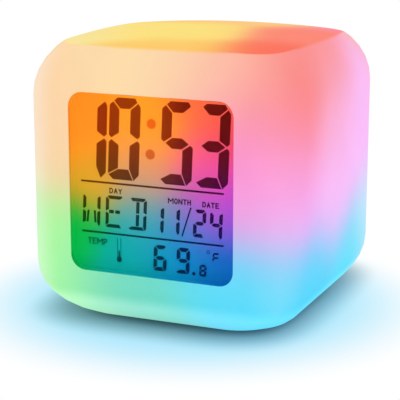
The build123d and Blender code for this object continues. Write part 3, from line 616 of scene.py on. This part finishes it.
def floor_material():
    """Pale floor with a painted pool of the clock's light and painted shadows round its foot, which turns to
    plain white further out.
    """
    graph = Graph("pale_floor")
    distance = graph.square_distance(painted_shadow_roundness, painted_shadow_place, painted_shadow_stretch)
    # Painted pool of the clock's light, fading out from its middle
    light_pool_distance = graph.vector("DISTANCE", graph.place(), light_pool_place)
    light_pool = graph.ramp(light_pool_distance, 1.0, 0.0, light_pool_inner, light_pool_outer)
    cloud = graph.ramp(graph.noise(floor_cloud_grain), *floor_cloud)
    colour = graph.mix(light_pool, srgb(white), srgb(light_pool_colour))
    # Painted shadow round the clock's foot
    painted_shadow = graph.ramp(distance, 1.0, 0.0, painted_shadow_inner, painted_shadow_outer)
    colour = graph.mix(painted_shadow, colour, srgb(painted_shadow_colour))
    # Painted shadow in the crease under the clock's rounded foot
    painted_crease_shadow_distance = graph.square_distance(painted_shadow_roundness)
    crease = graph.ramp(painted_crease_shadow_distance, 1.0, 0.0, painted_crease_shadow_inner, painted_crease_shadow_outer)
    colour = graph.mix(crease, colour, srgb(painted_crease_shadow_colour))
    graph.set(Base_Color=graph.scaled(colour, cloud), Roughness=floor_rough)
    graph.set(Specular_IOR_Level=floor_specular)
    plain = graph.node("ShaderNodeEmission")
    graph.put(plain.inputs["Color"], colour)
    path = graph.node("ShaderNodeLightPath")
    seen = graph.math("MAXIMUM", path.outputs["Is Camera Ray"], path.outputs["Is Glossy Ray"])
    seen = graph.math("MAXIMUM", seen, path.outputs["Is Transmission Ray"])
    fade = graph.ramp(distance, floor_fade_least, 1.0, floor_fade_inner, floor_fade_outer)
    blend = graph.node("ShaderNodeMixShader")
    graph.put(blend.inputs[0], graph.math("MULTIPLY", seen, fade))
    graph.put(blend.inputs[1], graph.shader.outputs[0])
    graph.put(blend.inputs[2], plain.outputs[0])
    graph.put(graph.output.inputs["Surface"], blend.outputs[0])
    return graph.material


def show(name, mesh, material, body="clock"):
    """Add a piece that rides on a body, with the material that it is given."""
    piece = bpy.data.objects.new(name, mesh)
    bpy.context.scene.collection.objects.link(piece)
    mesh.materials.clear()
    mesh.materials.append(material)
    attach(piece, body)
    return piece


def finish_mesh(bm, name):
    """Mesh of the finished faces, all turned outwards."""
    bmesh.ops.recalc_face_normals(bm, faces=bm.faces)
    mesh = bpy.data.meshes.new(name)
    bm.to_mesh(mesh)
    bm.free()
    return mesh


def prism(bm, outline, middle_y, thickness):
    """A thin upright plate, from its outline in millimetres across and up."""
    near = [bm.verts.new((x * mm, middle_y - thickness / 2, z * mm)) for x, z in outline]
    far = [bm.verts.new((x * mm, middle_y + thickness / 2, z * mm)) for x, z in outline]
    bm.faces.new(near)
    bm.faces.new(far[::-1])
    for i in range(len(outline)):
        j = (i + 1) % len(outline)
        bm.faces.new((near[i], near[j], far[j], far[i]))


def strip(bm, sides, closed, middle_y, thickness):
    """A thin upright plate along a row of pairs of points, which may close on itself."""
    depths = (middle_y - thickness / 2, middle_y + thickness / 2)
    rows = [[bm.verts.new((x * mm, depth, z * mm)) for depth in depths for x, z in side] for side in sides]
    for i in range(len(rows) if closed else len(rows) - 1):
        here, there = rows[i], rows[(i + 1) % len(rows)]
        for a, b in ((0, 1), (1, 3), (3, 2), (2, 0)):
            bm.faces.new((here[a], here[b], there[b], there[a]))
    if not closed:
        for row in (rows[0], rows[-1]):
            bm.faces.new((row[0], row[1], row[3], row[2]))


def on_display(points):
    """Points of a figure, moved with all the figures together."""
    offset_x, offset_z = figure_offset
    return [(x + offset_x, z + offset_z) for x, z in points]


def mark(bm, outline):
    """A flat figure on the display."""
    prism(bm, on_display(outline), display_y, figure_thickness)


def mark_strip(bm, sides, closed):
    """A flat stroke on the display."""
    strip(bm, [on_display(side) for side in sides], closed, display_y, figure_thickness)


def ring(place, radius):
    """Points round a circle."""
    x, z = place
    turns = [2 * math.pi * i / ring_points for i in range(ring_points)]
    return [(x + radius * math.cos(turn), z + radius * math.sin(turn)) for turn in turns]


def stroke_between(foot, head, width):
    """Outline of a straight stroke with level ends."""
    (x0, z0), (x1, z1) = foot, head
    half = width / 2
    return [(x0 - half, z0), (x0 + half, z0), (x1 + half, z1), (x1 - half, z1)]


def segment_outline(letter, width, height, stroke, gap):
    """One segment of a figure, from the figure's lower left corner."""
    middle = height / 2
    half = stroke / 2
    tip = tip_share * stroke
    left_x, left_z = (share * stroke for share in top_left_cut_share)
    right_x, right_z = (share * stroke for share in top_right_cut_share)
    foot_left_x, foot_left_z = (share * stroke for share in foot_left_cut_share)
    foot_right_x, foot_right_z = (share * stroke for share in foot_right_cut_share)
    top = [
        (left_x / 2 + gap, height - left_z / 2), (left_x + gap, height), (width - right_x - gap, height),
        (width - right_x / 2 - gap, height - right_z / 2), (width - stroke - gap, height - stroke),
        (stroke + gap, height - stroke),
    ]
    upper_left = [
        (0, height - left_z - gap), (left_x / 2, height - left_z / 2 - gap), (stroke, height - stroke - gap),
        (stroke, middle + half + gap), (tip, middle + gap), (0, middle + tip + gap),
    ]
    upper_right = [
        (width, height - right_z - gap), (width - right_x / 2, height - right_z / 2 - gap),
        (width - stroke, height - stroke - gap), (width - stroke, middle + half + gap),
        (width - tip, middle + gap), (width, middle + tip + gap),
    ]
    lower_left = [
        (0, middle - tip - gap), (tip, middle - gap), (stroke, middle - half - gap),
        (stroke, stroke + gap), (0, foot_left_z + gap),
    ]
    lower_right = [
        (width, middle - tip - gap), (width - tip, middle - gap), (width - stroke, middle - half - gap),
        (width - stroke, stroke + gap), (width - foot_right_x, 0), (width, foot_right_z),
    ]
    foot = [
        (gap / 2, foot_left_z), (stroke + gap / 2, stroke), (width - stroke - gap, stroke),
        (width - foot_right_x - gap, 0), (foot_left_x, 0),
    ]
    bar = [
        (tip + 2 * gap, middle), (stroke + gap, middle + half), (width - stroke - gap, middle + half),
        (width - tip - 2 * gap, middle), (width - stroke - gap, middle - half), (stroke + gap, middle - half),
    ]
    left_bar = [
        (stroke, middle), (stroke + gap, middle + half), (width / 2 - 2 * gap, middle + half),
        (width / 2 - gap, middle), (width / 2 - 2 * gap, middle - half), (stroke + gap, middle - half),
    ]
    centre_upper = stroke_between((width / 2, middle + gap), (width / 2, height - stroke - gap), stroke)
    leaning = stroke_between((stroke + half, stroke), (width / 2 - stroke, middle - gap), lean_share * stroke)

    def across(outline):
        return [(width - x, z) for x, z in outline]

    def over(outline):
        return [(x, height - z) for x, z in outline]

    return {
        "a": top, "b": upper_right, "c": lower_right, "d": foot, "e": lower_left, "f": upper_left, "g": bar,
        "p": left_bar, "q": across(left_bar), "i": centre_upper, "l": over(centre_upper),
        "n": leaning, "m": across(leaning),
    }[letter]


def figure_row(bm, row):
    """A row of leaning segment figures."""
    figures, left_edges, foot, width, height, stroke, gap = row
    for figure, left in zip(figures, left_edges):
        for letter in segments_of[figure]:
            outline = segment_outline(letter, width, height, stroke, gap)
            mark(bm, [(left + x + figure_slant * z, foot + z) for x, z in outline])


def ribbon(path, stroke):
    """Pairs of points on both sides of a stroke, and whether it closes.

    Its ends are square, and it is mitred where it turns.
    """
    points = [Vector(point) for point in path]
    closed = points[0] == points[-1]
    ways = [(b - a).normalized() for a, b in zip(points, points[1:])]
    if not closed:
        points[0] = points[0] - ways[0] * stroke / 2
        points[-1] = points[-1] + ways[-1] * stroke / 2
    sides = []
    for i, point in enumerate(points[:-1] if closed else points):
        ahead = ways[min(i, len(ways) - 1)]
        behind = ways[i - 1] if i or closed else ways[0]
        normal = (ahead.orthogonal() + behind.orthogonal()).normalized()
        reach = min(1 / normal.dot(ahead.orthogonal()), mitre_limit) * stroke / 2
        sides.append((point + normal * reach, point - normal * reach))
    return sides, closed


def word_strokes(words, left, foot, width, height, stroke):
    """Ribbons of the strokes of a word, set to a width."""
    unit = width / word_units(words)
    tall = height - stroke
    ribbons = []
    for letter in words:
        share = wide_letters.get(letter, 1.0)
        wide = share * unit - stroke
        for path in letter_paths[letter]:
            line = [(left + stroke / 2 + x * wide, foot + stroke / 2 + z * tall) for x, z in path]
            ribbons.append(ribbon(line, stroke))
        left += (share + letter_gap) * unit
    return ribbons


def word_units(words):
    """Width of a word, in widths of a plain letter."""
    return sum(wide_letters.get(letter, 1.0) for letter in words) + letter_gap * (len(words) - 1)


def word_width(words):
    """Width of a word on the cover."""
    return word_units(words) * cover_letter_width * cover_word_height


def smooth_copy(node):
    """A CAD node's mesh, joined at its seams and shaded smoothly across shallow edges."""
    bm = bmesh.new()
    bm.from_mesh(nodes[node].data)
    bmesh.ops.remove_doubles(bm, verts=bm.verts, dist=weld_distance)
    for face in bm.faces:
        face.smooth = True
    for edge in bm.edges:
        edge.smooth = len(edge.link_faces) == 2 and edge.calc_face_angle(0) < smooth_angle
    mesh = bpy.data.meshes.new(node + "_smooth")
    bm.to_mesh(mesh)
    bm.free()
    return mesh


def show_mark(name, bm, material):
    """Add a piece of the display's printing."""
    show(name, finish_mesh(bm, name), material)


def corners_of(node, inset):
    """Corners of a node's box from the front, moved in from its edges, in millimetres."""
    low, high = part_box(node)
    left, right = (low.x + inset) / mm, (high.x - inset) / mm
    foot, head = (low.z + inset) / mm, (high.z - inset) / mm
    return [(left, foot), (right, foot), (right, head), (left, head)]


# Depth of the figures: the narrow gap between the lens and the front polariser
display_y = (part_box("display_lens")[1].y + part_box("front_polariser")[0].y) / 2

# The milky cube
cube = show("glowing_cube", smooth_copy("diffuser_shell"), cube_material())
weighted = cube.modifiers.new("even_shading", "WEIGHTED_NORMAL")
weighted.keep_sharp = True
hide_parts("diffuser_shell")

# Lit border between the polariser's edge and the lens's rim
display_light = display_material("display_light", 1.0)
rim = corners_of("display_lens", border_inset)
film = corners_of("front_polariser", border_lap)
bm = bmesh.new()
strip(bm, list(zip(rim, film)), True, display_y, figure_thickness)
show_mark("display_border", bm, display_light)

# Figures, rules and captions of the display
ink = display_material("display_ink", ink_share, ink_bright_share)
faint_ink = display_material("display_faint_ink", faint_ink_share, faint_ink_bright_share)

bm = bmesh.new()
figure_row(bm, time_row)
show_mark("time_figures", bm, ink)

bm = bmesh.new()
for place in colon_places:
    mark(bm, ring(place, colon_radius))
show_mark("colon_dots", bm, faint_ink)

bm = bmesh.new()
figure_row(bm, day_row)
figure_row(bm, date_row)
mark(bm, stroke_between(slash_foot, slash_head, slash_stroke))
show_mark("date_figures", bm, ink)

bm = bmesh.new()
for row in (degree_row, tenth_row, unit_row):
    figure_row(bm, row)
mark(bm, ring(point_place, point_radius))
show_mark("temperature_figures", bm, ink)

bm = bmesh.new()
for height in rule_heights:
    low, high = height - rule_stroke / 2, height + rule_stroke / 2
    mark(bm, [(rule_left, low), (rule_right, low), (rule_right, high), (rule_left, high)])
show_mark("display_rules", bm, ink)

bm = bmesh.new()
bulb_z, bulb_radius = thermometer_bulb
tube_foot, tube_head, tube_half = thermometer_tube
column_height, column_width = thermometer_column
mark(bm, ring((thermometer_x, bulb_z), bulb_radius))
for x in (thermometer_x - tube_half, thermometer_x + tube_half):
    mark(bm, stroke_between((x, tube_foot), (x, tube_head), thermometer_wall))
mark(bm, stroke_between((thermometer_x, tube_foot), (thermometer_x, tube_foot + column_height), column_width))
show_mark("thermometer_sign", bm, ink)

bm = bmesh.new()
outer = ring(degree_place, degree_radius)
inner = ring(degree_place, degree_radius - degree_stroke)
mark_strip(bm, list(zip(outer, inner)), True)
show_mark("degree_sign", bm, ink)

for words, left, foot, width, height in captions:
    bm = bmesh.new()
    for sides, closed in word_strokes(words, left, foot, width, height, caption_stroke):
        mark_strip(bm, sides, closed)
    show_mark("caption_" + words.lower(), bm, ink)

# Words on the cover, over the buttons and on both sides of the light switch, read from behind
cover_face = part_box("rear_cover")[1].y
word_grey = plastic("printed_grey", "6F7478", rough=0.5)


def cover_word(words, middle_x, foot):
    """Add a word to the cover."""
    width = word_width(words)
    bm = bmesh.new()
    for sides, closed in word_strokes(words, -width / 2, foot, width, cover_word_height, cover_word_stroke):
        turned = [[(middle_x - x, z) for x, z in side] for side in sides]
        strip(bm, turned, closed, cover_face, cover_word_thickness)
    name = "word_" + words.lower()
    show(name, finish_mesh(bm, name), word_grey)


for button in ("mode", "set", "up", "down", "snooze"):
    low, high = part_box(button + "_button")
    cover_word(button.upper(), (low.x + high.x) / 2 / mm, high.z / mm + cover_word_gap)
low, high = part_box("light_switch_knob")
switch_foot = (low.z + high.z) / 2 / mm - cover_word_height / 2
switch_middle = (low.x + high.x) / 2 / mm + switch_slot_shift
for words, side in (("ON", -1), ("OFF", 1)):
    away = switch_slot_half + switch_word_gap + word_width(words) / 2
    cover_word(words, switch_middle + side * away, switch_foot)

bm = bmesh.new()
for outline in door_arrow:
    prism(bm, outline, cover_face, cover_word_thickness)
show("door_arrow", finish_mesh(bm, "door_arrow"), word_grey, "battery_door")

# Materials of the CAD pieces
shared = {
    "display_lens": lens_material(),
    "front_polariser": display_light,
    "lcd_front_glass": lens_material(),
    "lcd_rear_glass": lens_material(),
    "rear_polariser": plastic("polariser_film", "3B4046", rough=0.2),
    "backlight_diffuser": plastic("diffuser_sheet", "EEF0EE", rough=0.5),
    "lcd_frame": plastic("frame_white", "E9EAE8"),
    "lcd_ribbon": plastic("ribbon_amber", "C98B3A", rough=0.35),
    "rear_cover": plastic("cover_white", "ECEDEB", rough=0.45),
    "battery_door": plastic("door_white", "E8E9E7", rough=0.45),
    "main_board": board_material(),
    "clock_chip": plastic("black_resin", "1B1C1E", rough=0.3),
    "buzzer": plastic("buzzer_black", "232426", rough=0.45),
    "tact_switches": plastic("switch_black", "2A2C2E", rough=0.5),
    "switch_body": plastic("switch_case", "B9BDC0", rough=0.4),
    "switch_lever": plastic("lever_black", "2C2E30", rough=0.4),
    "light_switch_knob": plastic("knob_grey", "C2C6C9", rough=0.4),
    "temperature_sensor": plastic("bead_black", "202224", rough=0.3),
    "rgb_leds": plastic("lamp_white", "F3F1E6", rough=0.35),
}
button_grey = plastic("button_grey", "CFD3D6", rough=0.4)
plunger_black = plastic("plunger_black", "242628", rough=0.4)
steel = metal("screw_steel", "B9BBBE")
nickel = metal("contact_nickel", "CBC8C0", rough=0.25)
for name, node in nodes.items():
    if name in shared:
        material = shared[name]
    elif name.endswith("_button"):
        material = button_grey
    elif name.endswith("_plunger"):
        material = plunger_black
    elif name.endswith("_screws"):
        material = steel
    elif name.startswith("battery_cell"):
        material = cell_material(name)
    else:
        material = nickel
    node.data.materials.clear()
    node.data.materials.append(material)

# Floor
bm = bmesh.new()
bmesh.ops.create_circle(bm, cap_ends=True, segments=floor_points, radius=floor_radius)
floor = bpy.data.objects.new("floor", finish_mesh(bm, "floor"))
floor.data.materials.append(floor_material())
bpy.context.scene.collection.objects.link(floor)

# World: soft even light, plain white to the camera
world = bpy.data.worlds.new("studio")
bpy.context.scene.world = world
world.use_nodes = True
sky = world.node_tree.nodes["Background"]
rays = world.node_tree.nodes.new("ShaderNodeLightPath")
level = world.node_tree.nodes.new("ShaderNodeMapRange")
seen = rays.outputs["Is Camera Ray"]
for kind in ("Is Glossy Ray", "Is Transmission Ray"):
    most = world.node_tree.nodes.new("ShaderNodeMath")
    most.operation = "MAXIMUM"
    world.node_tree.links.new(seen, most.inputs[0])
    world.node_tree.links.new(rays.outputs[kind], most.inputs[1])
    seen = most.outputs[0]
world.node_tree.links.new(seen, level.inputs["Value"])
level.inputs["To Min"].default_value = world_level
level.inputs["To Max"].default_value = 1.0
world.node_tree.links.new(level.outputs["Result"], sky.inputs["Strength"])
sky.inputs["Color"].default_value = srgb(white)


def lamp(name, place, size, power):
    """Soft square lamp that faces the middle of the clock."""
    data = bpy.data.lights.new(name, "AREA")
    data.size = size
    data.energy = power
    made = bpy.data.objects.new(name, data)
    bpy.context.scene.collection.objects.link(made)
    made.location = place
    made.rotation_mode = "QUATERNION"
    aim = (cad_box[0] + cad_box[1]) / 2 - Vector(place)
    made.rotation_quaternion = aim.to_track_quat("-Z", "Y")


for name, (place, size, power) in lamps.items():
    lamp(name, place, size, power)

# Camera
forward = Vector((
    -math.sin(camera_yaw) * math.cos(camera_pitch),
    math.cos(camera_yaw) * math.cos(camera_pitch),
    -math.sin(camera_pitch),
))
right = Vector((math.cos(camera_yaw), math.sin(camera_yaw), 0))
up = right.cross(forward)
data = bpy.data.cameras.new("camera")
data.sensor_width = sensor_mm
data.lens = sensor_mm * focal_px / image_px
camera = bpy.data.objects.new("camera", data)
bpy.context.scene.collection.objects.link(camera)
turn = Matrix((right, up, -forward)).transposed()
middle = Vector((0, 0, (cad_box[0].z + cad_box[1].z) / 2))
place = middle - forward * camera_distance + right * aim_right + up * aim_up
camera.matrix_world = Matrix.Translation(place) @ turn.to_4x4()
bpy.context.scene.camera = camera

bpy.context.scene.view_settings.view_transform = "Standard"
